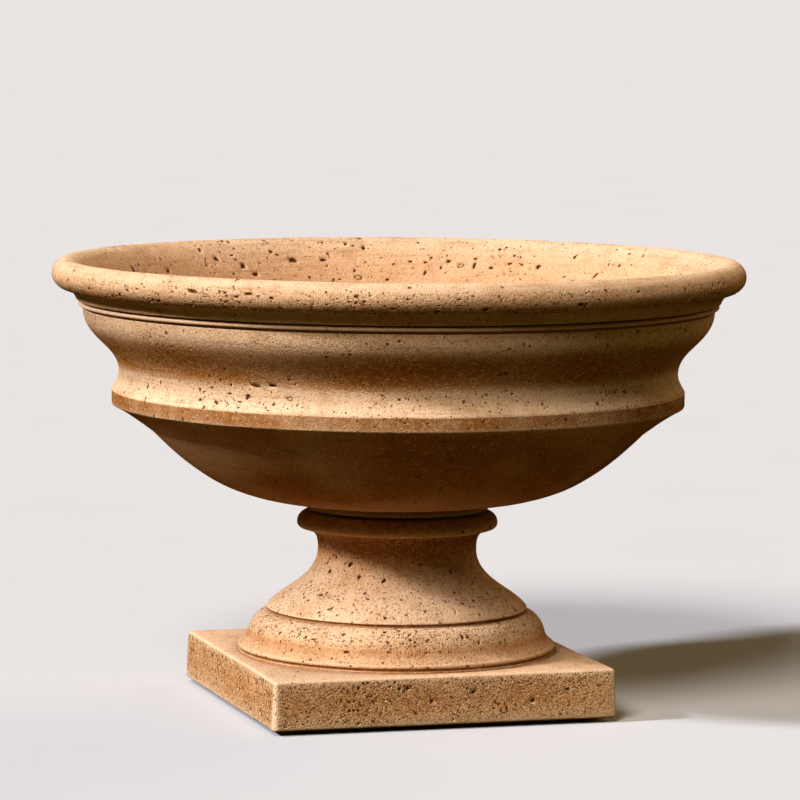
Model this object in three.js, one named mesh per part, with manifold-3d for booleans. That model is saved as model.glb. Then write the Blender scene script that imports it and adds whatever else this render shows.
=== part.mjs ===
// A cast-stone garden planter: a moulded round bowl that stands on a pedestal with a square plinth.
// Lengths are millimetres and +Z is up. The origin is on the planter's axis, on the ground under its pads.
// The plinth's sides run along X and Y, and its front faces -Y.
import * as THREE from "three";
import { mergeVertices } from "three/addons/utils/BufferGeometryUtils.js";
import Module from "manifold-3d";

// Main sizes
const rimRadius = 393.5;
const bowlHeight = 283.9;
const pedestalHeight = 215.2;

// Clearances
const seatGap = 0.3; // between two pieces that rest on each other
const sleeveClearance = 0.5; // all round the sleeve in the bowl's drain hole
const boreClearance = 1.5; // all round the sleeve in the pedestal's bore
const grateClearance = 0.7; // all round the grate in its rebate
const cutOverrun = 5; // how far a cutting body runs past the face that it cuts
const mergeDistance = 0.001; // points of a mesh closer than this are one point

// Pads under the plinth
const padHeight = 5;
const padRadius = 26;
const padChamfer = 1;
const padInset = 43.2; // from the plinth's side to the pad's centre

// Pedestal, from the plinth up
const plinthHeight = 55;
const plinthMargin = 15.8; // from the toe of the round foot to the top of the plinth's side
const plinthDraft = 2.4; // how far the plinth's side leans out from its top down to its bottom
const arrisRadius = 3;
const cornerRadius = 1.5;
const toeFilletHeight = 2; // the thin ring that the foot stands on
const toeFilletStep = 0.8; // from the toe in to the thin ring
const toeQuirkHeight = 2; // the incised line between the thin ring and the toe
const toeQuirkDepth = 3.2;
const toeHeight = 6;
const toeSpread = 11.5; // how far the toe stands out from the foot above it
const footFlareRise = 13.7;
const footRise = 22.3;
const footSpread = 20.3; // from the lip of the stem out to the foot
const notchHeight = 4.2; // the undercut below the lip of the stem
const notchDepth = 3;
const stemSpread = 58.7; // from the neck out to the lip
const neckRadius = 90.6;
const neckFlareRise = 23.5;
const neckFlareSpread = 17.4;
const collarSpread = 24; // how far the collar stands out from the neck
const collarEdgeRise = 6.1; // from the collar's underside up to its widest line
const collarEdgeReach = 4.6;
const collarTopRise = 12.9; // from its widest line up to its top
const collarTopReach = 13.6;

// Hollow of the pedestal
const deckThickness = 40; // stone left above the hollow
const neckWall = 43;
const footWall = 45;
const neckHollowHeight = 30;

// Ring that the bowl is bedded on
const ringThickness = 3;
const ringSetback = 7; // from the bowl's seat in to the ring
const ringWidth = 38;

// Bowl, from the seat up
const seatSetback = 10.5; // from the collar's widest line in to the bowl's seat
const seatHeight = 8.9;
const underRise = 81;
const coveRise = 29.5;
const coveDepth = 44.5; // from the band in to the corner above the underside
const bandHeight = 16.5;
const bandStep = 7.9; // how far the band stands out from the waist
const shoulderRise = 20;
const bodySpread = 40.7; // from the waist out to the body's top
const beadQuirkHeight = 1.8; // the fine lines above and below the bead
const beadQuirkDepth = 1.3;
const beadHeight = 5.6;
const beadStep = 5.3; // how far the bead stands out from the body
const cavettoStep = 7.2; // from the body out to the cavetto's foot
const cavettoRise = 12.8;
const rimRollRadius = 17;
const rimOverhang = 35.2; // from the body's top out to the rim
const wallThickness = 36;
const floorThickness = 45;
const floorFall = 2; // how far the floor dips to the drain
const floorRadius = 110;

// Drain
const tubeRadius = 20;
const tubeWall = 3.5;
const flangeRadius = 45;
const flangeThickness = 8;
const sleeveReach = 24; // how far the sleeve hangs below the bowl's seat
const grateRadius = 33;
const grateThickness = 4;
const grateChamfer = 0.6;
const grateBorder = 4.5; // left whole round the slots
const slotWidth = 4;
const slotPitch = 8;

// Bends of the mouldings. Each is a pair of shares of the step out and the step up, at its lower
// end and at its upper end, for how far the curve keeps the direction that it has there.
const footFlareShares = [[0.4, 0.3], [0.1, 0.45]];
const footShares = [[0.12, 0.53], [0.53, 0.02]];
const stemShares = [[0.18, 0.27], [0, 0.55]];
const neckFlareShares = [[0, 0.7], [0.75, 0.18]];
const underShares = [[0.445, 0], [0.3, 0.67]];
const coveShares = [[0.51, 0.57], [0.29, 0.22]];
const shoulderShares = [[0.55, 0.4], [0, 0.4]];
const bodyShares = [[0, 0.42], [0, 0.47]];
const cavettoShares = [[0.15, 0.45], [0.45, 0.15]];
const wallShares = [[0.33, 0], [0.19, 0.3]]; // from the rim's crest down to the waist
const basinShares = [[0.1, 0.32], [0.47, 0.02]]; // from the waist down to the floor

// Steps round a circle
const bowlSides = 64;
const pedestalSides = 48;
const smallSides = 32;

// Steps along a curve
const longBendSteps = 7;
const bendSteps = 5;
const shortBendSteps = 3;
const rollSteps = 8;
const beadSteps = 4;
const arrisSteps = 2;

// What the stem takes of the pedestal's height, between its foot and its neck
const toeRise = toeFilletHeight + toeQuirkHeight + toeHeight;
const footHeight = toeRise + footFlareRise + footRise + notchHeight;
const collarHeight = neckFlareRise + collarEdgeRise + collarTopRise;
const stemRise = pedestalHeight - plinthHeight - footHeight - collarHeight;

// What the body takes of the bowl's height, between its waist and the bead
const basinBaseHeight = seatHeight + underRise + coveRise + bandHeight + shoulderRise;
const rimHeight = 2 * beadQuirkHeight + beadHeight + cavettoRise + 2 * rimRollRadius;
const bodyRise = bowlHeight - basinBaseHeight - rimHeight;

// Levels of the pedestal
const plinthBottom = padHeight + seatGap;
const plinthTop = plinthBottom + plinthHeight;
const filletTop = plinthTop + toeFilletHeight;
const toeBottom = filletTop + toeQuirkHeight;
const toeTop = toeBottom + toeHeight;
const footBottom = toeTop + footFlareRise;
const footTop = footBottom + footRise;
const lipBottom = footTop + notchHeight;
const neckBottom = lipBottom + stemRise;
const collarBottom = neckBottom + neckFlareRise;
const collarMiddle = collarBottom + collarEdgeRise;
const pedestalTop = collarMiddle + collarTopRise;

// Radii of the pedestal
const lipRadius = neckRadius + stemSpread;
const footRadius = lipRadius + footSpread;
const toeRadius = footRadius + toeSpread;
const collarRadius = neckRadius + collarSpread;
const filletRadius = toeRadius - toeFilletStep;
const plinthHalf = toeRadius + plinthMargin;

// Levels of the bowl
const ringBottom = pedestalTop + seatGap;
const bowlBottom = ringBottom + ringThickness + seatGap;
const underBottom = bowlBottom + seatHeight;
const underTop = underBottom + underRise;
const bandBottom = underTop + coveRise;
const bandTop = bandBottom + bandHeight;
const waistLevel = bandTop + shoulderRise;
const bodyTop = waistLevel + bodyRise;
const beadBottom = bodyTop + beadQuirkHeight;
const beadTop = beadBottom + beadHeight;
const cavettoBottom = beadTop + beadQuirkHeight;
const rimBottom = cavettoBottom + cavettoRise;
const rimCentre = rimBottom + rimRollRadius;
const rimTop = rimCentre + rimRollRadius;
const floorLevel = bowlBottom + floorThickness;
const drainLevel = floorLevel - floorFall;

// Radii of the bowl
const seatRadius = collarRadius - seatSetback;
const bodyTopRadius = rimRadius - rimOverhang;
const waistRadius = bodyTopRadius - bodySpread;
const bandRadius = waistRadius + bandStep;
const underRadius = bandRadius - coveDepth;
const crestRadius = rimRadius - rimRollRadius;
const innerWaistRadius = waistRadius - wallThickness;

const stone = { color: 0xd9a06b, roughness: 0.88, metalness: 0 };
const rubber = { color: 0x1b1a19, roughness: 0.9, metalness: 0 };
const plastic = { color: 0x3b3a38, roughness: 0.6, metalness: 0 };

const wasm = await Module();
wasm.setup();

// Turns a geometry into a solid that can be joined and cut.
function solidOf(geometry) {
  const bare = geometry.clone();
  bare.deleteAttribute("normal");
  bare.deleteAttribute("uv");
  const merged = mergeVertices(bare, mergeDistance);
  return new wasm.Manifold(
    new wasm.Mesh({
      numProp: 3,
      vertProperties: merged.attributes.position.array,
      triVerts: merged.index.array,
    }),
  );
}

// Turns a solid back into a geometry.
function geometryOf(solid) {
  const mesh = solid.getMesh();
  const geometry = new THREE.BufferGeometry();
  geometry.setAttribute("position", new THREE.BufferAttribute(mesh.vertProperties, mesh.numProp));
  geometry.setIndex(new THREE.BufferAttribute(mesh.triVerts, 1));
  geometry.computeVertexNormals();
  return geometry;
}

// Turns a profile of radius and height round the Z axis. It runs up the outside and down the inside.
function turned(profile, sides) {
  const geometry = new THREE.LatheGeometry(profile, sides);
  return geometry.rotateX(Math.PI / 2);
}

function at(radius, level) {
  return new THREE.Vector2(radius, level);
}

// A smooth curve from one profile point to the next, without its first point.
function bend(from, to, shares, steps) {
  const across = to.x - from.x;
  const up = to.y - from.y;
  const [lower, upper] = shares;
  const curve = new THREE.CubicBezierCurve(
    from,
    at(from.x + across * lower[0], from.y + up * lower[1]),
    at(to.x - across * upper[0], to.y - up * upper[1]),
    to,
  );
  return curve.getPoints(steps).slice(1);
}

// Half an ellipse that bulges outwards from one level up to another, with both of its ends.
function bulge(radius, bottom, top, reach, steps) {
  const middle = (bottom + top) / 2;
  const curve = new THREE.EllipseCurve(radius, middle, reach, top - middle, -Math.PI / 2, Math.PI / 2);
  return curve.getPoints(steps);
}

// A quarter of an ellipse: upwards from its foot to its widest line with a side of -1, and on from
// the widest line to its top with a side of 1.
function quarter(radius, middle, reach, rise, side) {
  const [start, end] = side < 0 ? [-Math.PI / 2, 0] : [0, Math.PI / 2];
  return new THREE.EllipseCurve(radius, middle, reach, rise, start, end).getPoints(shortBendSteps);
}

function named(name, geometry, finish) {
  const mesh = new THREE.Mesh(geometry, new THREE.MeshStandardMaterial(finish));
  mesh.name = name;
  return mesh;
}

// The square plinth with rounded corners and arrises. Its sides lean out a little towards the bottom.
function plinthGeometry() {
  const half = plinthHalf - arrisRadius;
  const round = cornerRadius;
  const outline = new THREE.Shape();
  outline.moveTo(-half + round, -half);
  outline.lineTo(half - round, -half);
  outline.absarc(half - round, -half + round, round, -Math.PI / 2, 0);
  outline.lineTo(half, half - round);
  outline.absarc(half - round, half - round, round, 0, Math.PI / 2);
  outline.lineTo(-half + round, half);
  outline.absarc(-half + round, half - round, round, Math.PI / 2, Math.PI);
  outline.lineTo(-half, -half + round);
  outline.absarc(-half + round, -half + round, round, Math.PI, (Math.PI * 3) / 2);
  const geometry = new THREE.ExtrudeGeometry(outline, {
    depth: plinthHeight - 2 * arrisRadius,
    curveSegments: arrisSteps,
    bevelThickness: arrisRadius,
    bevelSize: arrisRadius,
    bevelSegments: arrisSteps,
  });
  geometry.translate(0, 0, plinthBottom + arrisRadius);
  const points = geometry.attributes.position;
  for (let i = 0; i < points.count; i += 1) {
    const fall = (plinthTop - points.getZ(i)) / plinthHeight;
    const growth = (plinthHalf + plinthDraft * fall) / plinthHalf;
    points.setXY(i, points.getX(i) * growth, points.getY(i) * growth);
  }
  return geometry;
}

// The round part of the pedestal, solid, with its foot sunk to the middle of the plinth.
function stemGeometry() {
  const buried = at(filletRadius, plinthBottom + plinthHeight / 2);
  const quirkRadius = toeRadius - toeQuirkDepth;
  const toeRound = toeHeight / 2;
  const footFoot = at(footRadius, footBottom);
  const lip = at(lipRadius, lipBottom);
  const neck = at(neckRadius, neckBottom);
  const neckTop = at(neckRadius + neckFlareSpread, collarBottom);
  return turned(
    [
      at(0, buried.y),
      buried,
      at(filletRadius, filletTop),
      at(quirkRadius, filletTop),
      at(quirkRadius, toeBottom),
      ...bulge(toeRadius - toeRound, toeBottom, toeTop, toeRound, beadSteps),
      ...bend(at(toeRadius - toeRound, toeTop), footFoot, footFlareShares, shortBendSteps),
      ...bend(footFoot, at(lipRadius - notchDepth, footTop), footShares, bendSteps),
      at(lipRadius - notchDepth, lipBottom - notchHeight / 2),
      lip,
      ...bend(lip, neck, stemShares, longBendSteps),
      ...bend(neck, neckTop, neckFlareShares, shortBendSteps),
      ...quarter(collarRadius - collarEdgeReach, collarMiddle, collarEdgeReach, collarEdgeRise, -1),
      ...quarter(collarRadius - collarTopReach, collarMiddle, collarTopReach, collarTopRise, 1).slice(1),
      at(0, pedestalTop),
    ],
    pedestalSides,
  );
}

// The hollow that opens under the plinth, with the bore for the sleeve above it.
function pedestalHollowGeometry() {
  const boreRadius = tubeRadius + boreClearance;
  const deckLevel = pedestalTop - deckThickness;
  const neckHollowRadius = neckRadius - neckWall;
  const footHollowRadius = footRadius - footWall;
  return turned(
    [
      at(0, plinthBottom - cutOverrun),
      at(footHollowRadius, plinthBottom - cutOverrun),
      at(footHollowRadius, plinthTop),
      at(neckHollowRadius, deckLevel - neckHollowHeight),
      at(neckHollowRadius, deckLevel),
      at(boreRadius, deckLevel),
      at(boreRadius, pedestalTop + cutOverrun),
      at(0, pedestalTop + cutOverrun),
    ],
    smallSides,
  );
}

function pedestal() {
  const whole = solidOf(plinthGeometry()).add(solidOf(stemGeometry()));
  return named("pedestal", geometryOf(whole.subtract(solidOf(pedestalHollowGeometry()))), stone);
}

// The bowl in one closed profile: up the outside, over the rim and down the inside to the drain hole.
function bowl() {
  const holeRadius = tubeRadius + sleeveClearance;
  const rebateRadius = flangeRadius + sleeveClearance;
  const flangeSeat = drainLevel - flangeThickness - seatGap;
  const seatTop = at(seatRadius, underBottom);
  const corner = at(underRadius, underTop);
  const bandFoot = at(bandRadius, bandBottom);
  const bandHead = at(bandRadius, bandTop);
  const waist = at(waistRadius, waistLevel);
  const bodyHead = at(bodyTopRadius, bodyTop);
  const quirkRadius = bodyTopRadius - beadQuirkDepth;
  const cavettoFoot = at(bodyTopRadius + cavettoStep, cavettoBottom);
  const rimFoot = at(crestRadius, rimBottom);
  const crest = at(crestRadius, rimTop);
  const innerWaist = at(innerWaistRadius, waistLevel);
  const profile = [
    at(holeRadius, bowlBottom),
    at(seatRadius, bowlBottom),
    seatTop,
    ...bend(seatTop, corner, underShares, bendSteps),
    ...bend(corner, bandFoot, coveShares, shortBendSteps),
    bandHead,
    ...bend(bandHead, waist, shoulderShares, shortBendSteps),
    ...bend(waist, bodyHead, bodyShares, longBendSteps),
    at(quirkRadius, bodyTop),
    at(quirkRadius, beadBottom),
    ...bulge(bodyTopRadius, beadBottom, beadTop, beadStep, beadSteps),
    at(quirkRadius, beadTop),
    at(quirkRadius, cavettoBottom),
    cavettoFoot,
    ...bend(cavettoFoot, rimFoot, cavettoShares, shortBendSteps),
    ...bulge(crestRadius, rimBottom, rimTop, rimRollRadius, rollSteps).slice(1),
    ...bend(crest, innerWaist, wallShares, longBendSteps),
    ...bend(innerWaist, at(floorRadius, floorLevel), basinShares, bendSteps),
    at(rebateRadius, drainLevel),
    at(rebateRadius, flangeSeat),
    at(holeRadius, flangeSeat),
    at(holeRadius, bowlBottom),
  ];
  return named("bowl", turned(profile, bowlSides), stone);
}

// The soft ring between the pedestal and the bowl.
function settingRing() {
  const outer = seatRadius - ringSetback;
  const inner = outer - ringWidth;
  const profile = [
    at(inner, ringBottom),
    at(outer, ringBottom),
    at(outer, ringBottom + ringThickness),
    at(inner, ringBottom + ringThickness),
    at(inner, ringBottom),
  ];
  return named("setting_ring", turned(profile, pedestalSides), rubber);
}

// The sleeve: a flange that lies in the bowl's floor, and a tube that hangs into the pedestal's bore.
function drainSleeve() {
  const boreRadius = tubeRadius - tubeWall;
  const rebateRadius = grateRadius + grateClearance;
  const flangeBottom = drainLevel - flangeThickness;
  const ledge = drainLevel - grateThickness - seatGap;
  const tubeBottom = bowlBottom - sleeveReach;
  const profile = [
    at(boreRadius, tubeBottom),
    at(tubeRadius, tubeBottom),
    at(tubeRadius, flangeBottom),
    at(flangeRadius, flangeBottom),
    at(flangeRadius, drainLevel),
    at(rebateRadius, drainLevel),
    at(rebateRadius, ledge),
    at(boreRadius, ledge),
    at(boreRadius, tubeBottom),
  ];
  return named("drain_sleeve", turned(profile, smallSides), plastic);
}

// A flat disc with a chamfered edge at the top and the bottom.
function discProfile(radius, bottom, height, chamfer) {
  const top = bottom + height;
  return [
    at(0, bottom),
    at(radius - chamfer, bottom),
    at(radius, bottom + chamfer),
    at(radius, top - chamfer),
    at(radius - chamfer, top),
    at(0, top),
  ];
}

// The grate: a disc with a row of slots, as many as fit inside its border.
function drainGrate() {
  const bottom = drainLevel - grateThickness;
  const open = grateRadius - grateBorder;
  const aside = Math.floor((open - slotWidth) / slotPitch);
  let grate = solidOf(turned(discProfile(grateRadius, bottom, grateThickness, grateChamfer), smallSides));
  for (let i = -aside; i <= aside; i += 1) {
    const x = i * slotPitch;
    const edge = Math.abs(x) + slotWidth / 2;
    const length = 2 * Math.sqrt(open * open - edge * edge);
    const slot = new THREE.BoxGeometry(slotWidth, length, grateThickness + 2 * cutOverrun);
    slot.translate(x, 0, bottom + grateThickness / 2);
    grate = grate.subtract(solidOf(slot));
  }
  return named("drain_grate", geometryOf(grate), plastic);
}

// A pad under each corner of the plinth.
function footPads() {
  const reach = plinthHalf - padInset;
  const corners = [
    ["front_left", -reach, -reach],
    ["front_right", reach, -reach],
    ["back_left", -reach, reach],
    ["back_right", reach, reach],
  ];
  const profile = discProfile(padRadius, 0, padHeight, padChamfer);
  return corners.map(([corner, x, y]) => {
    const pad = named("foot_pad_" + corner, turned(profile, smallSides), rubber);
    pad.position.set(x, y, 0);
    return pad;
  });
}

const planter = new THREE.Group();
const base = new THREE.Group();
const basin = new THREE.Group();
base.add(pedestal(), settingRing(), ...footPads());
basin.add(bowl(), drainSleeve(), drainGrate());
planter.add(base, basin);

export default planter;
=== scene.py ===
import math

import bpy
import numpy as np
from mathutils import Matrix, Vector


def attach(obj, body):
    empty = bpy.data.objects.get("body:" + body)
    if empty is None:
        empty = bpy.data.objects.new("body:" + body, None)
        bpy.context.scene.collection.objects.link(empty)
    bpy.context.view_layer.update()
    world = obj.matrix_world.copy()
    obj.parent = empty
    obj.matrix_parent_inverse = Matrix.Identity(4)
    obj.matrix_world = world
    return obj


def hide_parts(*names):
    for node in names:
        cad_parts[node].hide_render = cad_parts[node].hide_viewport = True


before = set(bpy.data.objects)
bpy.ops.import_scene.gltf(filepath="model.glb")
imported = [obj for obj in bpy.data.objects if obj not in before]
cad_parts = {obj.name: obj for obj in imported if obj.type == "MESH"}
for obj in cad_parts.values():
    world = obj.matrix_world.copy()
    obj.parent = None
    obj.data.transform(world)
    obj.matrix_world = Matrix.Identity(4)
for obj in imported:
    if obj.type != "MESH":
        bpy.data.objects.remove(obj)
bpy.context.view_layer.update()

# A cast-stone planter: a moulded bowl on a waisted pedestal with a square plinth.
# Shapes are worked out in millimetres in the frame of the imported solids, Z up, and made in metres.
mm = 0.001


# Colours are written as sRGB hex values, and nodes want them linear
def linearColour(code):
    channels = [int(code[i:i + 2], 16) / 255 for i in (1, 3, 5)]
    return [c / 12.92 if c <= 0.04045 else ((c + 0.055) / 1.055) ** 2.4 for c in channels] + [1.0]


# Adds one node to a material or to the sky, and gives its outputs. An input is given by its name or number,
# and takes a value or another node's output. A ramp has two stops, each a place and a colour
def addNode(owner, kind, settings=None, inputs=None, stops=None):
    node = owner.node_tree.nodes.new("ShaderNode" + kind)
    for key, value in (settings or {}).items():
        setattr(node, key, value)
    for key, value in (inputs or {}).items():
        if isinstance(value, bpy.types.NodeSocket):
            owner.node_tree.links.new(value, node.inputs[key])
        else:
            node.inputs[key].default_value = value
    for i, (place, colour) in enumerate(stops or []):
        stop = node.color_ramp.elements[i]
        stop.position = place
        stop.color = linearColour(colour)
    return node.outputs


def newMaterial(name):
    material = bpy.data.materials.new(name)
    material.use_nodes = True
    material.node_tree.nodes.clear()
    return material


def newObject(name, data):
    thing = bpy.data.objects.new(name, data)
    bpy.context.scene.collection.objects.link(thing)
    return thing


# Texture scale for a pattern whose features are about this many millimetres apart
def perMetre(size):
    return 1 / (size * mm)


# A profile runs up the outside of a piece and back down the inside, as pairs of radius and height
def straight(start, end):
    return np.linspace(start, end, 2)


# A cubic curve. Its shares say how far it keeps its direction at the lower and at the upper end
def bend(start, end, shares):
    a, d = np.array(start, float), np.array(end, float)
    step = d - a
    b, c = a + step * shares[0], d - step * shares[1]
    t = np.linspace(0, 1, 80)[:, None]
    return a * (1 - t) ** 3 + 3 * b * t * (1 - t) ** 2 + 3 * c * t ** 2 * (1 - t) + d * t ** 3


# Part of an ellipse about a centre, between two turns in degrees
def arch(centre, reach, rise, fromTurn, toTurn):
    turn = np.radians(np.linspace(fromTurn, toTurn, 60))
    return np.stack([centre[0] + reach * np.cos(turn), centre[1] + rise * np.sin(turn)], 1)


# One stretch of a profile. ease is the radius, in mm, that softens its first corner
def run(line, zone, step, ease=0.0, form="turned"):
    return {"line": np.array(line, float), "zone": zone, "step": step, "ease": ease, "form": form}


# Straight stretches from each corner to the next
def chain(corners, zone, step, ease=0.0):
    return [run(straight(a, b), zone, step, ease) for a, b in zip(corners, corners[1:])]


supportGap = 1.1  # mm from an eased corner to the row that keeps it tight


# Rows of a piece: turned radius, half width of the square, how square it is, height. With them go the zone of
# each row and whether it lies on an arris
def rowsOf(runs, square=None):
    laid = []
    for stretch in runs:
        across, height = stretch["line"].T
        if stretch["form"] == "turned":
            parts = across, np.full_like(across, square[1] if square else 0), 0 * across, height
        elif stretch["form"] == "square":
            parts = np.full_like(across, square[0]), across, 0 * across + 1, height
        else:
            inner, outer = stretch["form"]
            parts = 0 * across + inner, 0 * across + outer, (across - inner) / (outer - inner), height
        laid.append(np.stack(parts, 1))
    rows, zones, arris = [], [], []
    count = len(runs)
    for k, stretch in enumerate(runs):
        here = laid[k]
        middle = here[:, 0] * (1 - here[:, 2]) + here[:, 1] * here[:, 2]
        along = np.hypot(np.diff(middle), np.diff(here[:, 3]))
        along = np.concatenate([[0], np.cumsum(along)])
        first, last = stretch["ease"], along[-1] - runs[(k + 1) % count]["ease"]
        steps = max(1, math.ceil((last - first) / stretch["step"]))
        marks = list(np.linspace(first, last, steps + 1))
        if first > 0 and marks[1] - first > 2 * supportGap:
            marks.insert(1, first + supportGap)
        if last < along[-1] and last - marks[-2] > 2 * supportGap:
            marks.insert(-1, last - supportGap)
        own = np.stack([np.interp(marks, along, here[:, i]) for i in range(4)], 1)
        if first > 0 and k > 0:
            corner, lastRow = here[0], rows[-1]
            for t in (0.33, 0.67):
                rows.append(lastRow * (1 - t) ** 2 + corner * 2 * t * (1 - t) + own[0] * t * t)
                zones.append(stretch["zone"])
                arris.append(1)
            start = 0
        else:
            start = 1 if k > 0 else 0
        rows += list(own[start:])
        zones += [stretch["zone"]] * (len(own) - start)
        arris += [0] * (len(own) - start)
    if runs[0]["ease"] == 0:
        rows, zones, arris = rows[:-1], zones[:-1], arris[:-1]
    return np.array(rows), zones, np.array(arris)


# Columns of a square that match the columns of a circle: a point on each side and the way out from it
def squareColumns(columns, flat):
    perCorner = 6  # columns round each corner
    eighth = columns // 8
    side = eighth - perCorner // 2
    points, ways = [], []
    for quarter in range(4):
        lean = Matrix.Rotation(math.pi / 2 * quarter, 2)
        for i in range(-eighth, eighth):
            turn = math.copysign(max(0, abs(i) - side) / perCorner * math.pi / 2, i)
            point = Vector((flat, flat * max(-1, min(1, i / side))))
            points.append(lean @ point)
            ways.append(lean @ Vector((math.cos(turn), math.sin(turn))))
    points, ways = np.array(points), np.array(ways)
    return np.roll(points, -eighth, 0), np.roll(ways, -eighth, 0)


# The points of a piece, row by row. flat is how far its straight sides run from their middle, if it has any
def gridOf(rows, columns, flat=0.0):
    turn = np.arange(columns) * 2 * math.pi / columns
    circle = np.stack([np.cos(turn), np.sin(turn)], 1)
    level = rows[:, 2][:, None, None]
    flatPlan = rows[:, 0][:, None, None] * circle
    if flat:
        points, ways = squareColumns(columns, flat)
        squarePlan = points + (rows[:, 1][:, None, None] - flat) * ways
        flatPlan = flatPlan * (1 - level) + squarePlan * level
    height = np.broadcast_to(rows[:, 3][:, None, None], flatPlan.shape[:2] + (1,))
    return np.concatenate([flatPlan, height], 2)


# The way out of the surface at each point
def outwardOf(grid):
    across = np.roll(grid, -1, 1) - np.roll(grid, 1, 1)
    up = np.roll(grid, -1, 0) - np.roll(grid, 1, 0)
    out = np.cross(across, up)
    return out / np.maximum(np.linalg.norm(out, axis=2, keepdims=True), 1e-9)


# Slow swells of a surface, from 0 to 1, a given distance apart
def swells(points, apart, seed):
    draw = np.random.default_rng(seed)
    total = np.zeros(points.shape[:-1])
    waves = 22
    for _ in range(waves):
        way = draw.normal(size=3)
        way *= 2 * math.pi / (apart * draw.uniform(0.75, 1.5) * np.linalg.norm(way))
        total += np.sin(points @ way + draw.uniform(0, 2 * math.pi))
    return np.clip(0.5 + total / waves * 1.6, 0, 1)


# How the hand-finished surface differs from the turned shape, in mm
handFinish = {
    "slowApart": 75,
    "quickApart": 27,
    "quickShare": 0.3,
    "nibbleApart": 11,
    "nibbleDepth": 0.45,
}


# The surface swells a little, and always in from the turned shape. Edges are a little uneven
def weather(grid, zones, arris, swell, seed):
    h = handFinish
    out = outwardOf(grid)
    free = np.array([zone != "seat" for zone in zones], float)[:, None]
    slow = swells(grid, h["slowApart"], seed) * (1 - h["quickShare"])
    slow += swells(grid, h["quickApart"], seed + 20) * h["quickShare"]
    edge = np.array([zone == "arris" for zone in zones]) | (arris > 0)
    nibble = swells(grid, h["nibbleApart"], seed + 40) ** 2 * edge[:, None]
    inward = swell * slow * free + h["nibbleDepth"] * nibble * free
    return grid - out * inward[:, :, None]


# How far the surface stands in from its own average over a few millimetres: above 0 in grooves and below 0 on
# edges
def lineDepth(rows, reach=4.0):
    across = rows[:, 0] * (1 - rows[:, 2]) + rows[:, 1] * rows[:, 2]
    line = np.stack([across, rows[:, 3]], 1)
    gap = np.linalg.norm(np.roll(line, -1, 0) - line, axis=1)
    along = np.concatenate([[0], np.cumsum(gap)])[:-1]
    share = (gap + np.roll(gap, 1)) / 2
    apart = np.abs(along[:, None] - along[None])
    apart = np.minimum(apart, gap.sum() - apart)
    weight = np.exp(-0.5 * (apart / reach) ** 2) * share[None]
    mean = weight @ line / weight.sum(1, keepdims=True)
    way = np.roll(line, -1, 0) - np.roll(line, 1, 0)
    out = np.stack([way[:, 1], -way[:, 0]], 1)
    out /= np.maximum(np.linalg.norm(out, axis=1, keepdims=True), 1e-9)
    return np.sum((mean - line) * out, 1)


# Triangles between the edge of a block and the rim of a hole in it, both turning the same way round
def joinRings(edge, edgeTurn, rim, rimTurn):
    start = int(np.argmin(np.abs((rimTurn - edgeTurn[0] + math.pi) % (2 * math.pi) - math.pi)))
    rim = list(rim[start:]) + list(rim[:start])
    rimTurn = np.roll(rimTurn, -start)
    edgeTurn = np.unwrap(np.append(edgeTurn, edgeTurn[0]))
    edgeTurn[-1] = edgeTurn[0] + 2 * math.pi
    rimTurn = np.unwrap(np.append(rimTurn, rimTurn[0]))
    rimTurn[-1] = rimTurn[0] + 2 * math.pi
    rimTurn += 2 * math.pi * round((edgeTurn[0] - rimTurn[0]) / (2 * math.pi))
    faces, i, j = [], 0, 0
    while i < len(edge) or j < len(rim):
        nextEdge = edgeTurn[i + 1] if i < len(edge) else math.inf
        nextRim = rimTurn[j + 1] if j < len(rim) else math.inf
        here, there = edge[i % len(edge)], rim[j % len(rim)]
        if nextEdge <= nextRim:
            faces.append((here, edge[(i + 1) % len(edge)], there))
            i += 1
        else:
            faces.append((here, rim[(j + 1) % len(rim)], there))
            j += 1
    return faces


# How holes are cut, in mm
holeCutting = {
    "deepest": 3.4,
    "ringDepth": 0.8,
    "leastHalf": 0.55,
    "smallBelow": 1.5,  # the half length under which one ring of points makes the wall
    "pointsBelow": ((1.7, 8), (3.2, 12), (math.inf, 18)),  # points round a hole, by its half length
    "lobes": (0.12, 0.1),  # how far two and three lobes take an outline from an ellipse
    "ragged": (0.87, 1.1),  # how far each of its points strays
    "raggedest": 1.15,
    "wallRagged": (0.92, 1.06),  # how far each point of the wall strays
    "margin": 0.4,  # from an outline to the edge of its block of cells
    "mostCells": 90,
    "lowestRow": 0.45,  # of a block, as a share of its middle row's height
    "smallCrowd": 2.6,  # above 1 there are more small holes than large ones
    "lying": 0.75,  # the share of the holes that keep near their zone's lie. The rest lie any way
    "lieSpread": 0.45,  # radians
    "depths": (0.8, 1.3),  # as a share of the half width
    "tries": (1, 0.75, 0.55),  # a hole without room is tried again at these sizes
    "crowdsApart": (70, 24),  # holes come thickly where both swells are high
    "outsideCrowds": 0.06,
}

# The rings of points from a hole's rim to its floor: share of the outline, share of the depth, how dark the
# painted shade is there
holeRings = {
    "small": ((1, 0, 0.18), (0.85, 0.7, 1)),
    "hole": ((1, 0, 0.14), (0.92, 0.45, 1), (0.6, 0.92, 1)),
    "ring": ((1, 0, 0.15), (0.91, 1, 1), (0.68, 1, 1), (0.58, 0, 0.15)),
}

plainFinish = (0, 0, 0, 0, 0, 0.3, 0)  # of the zones that a casting's own list leaves out


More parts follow.
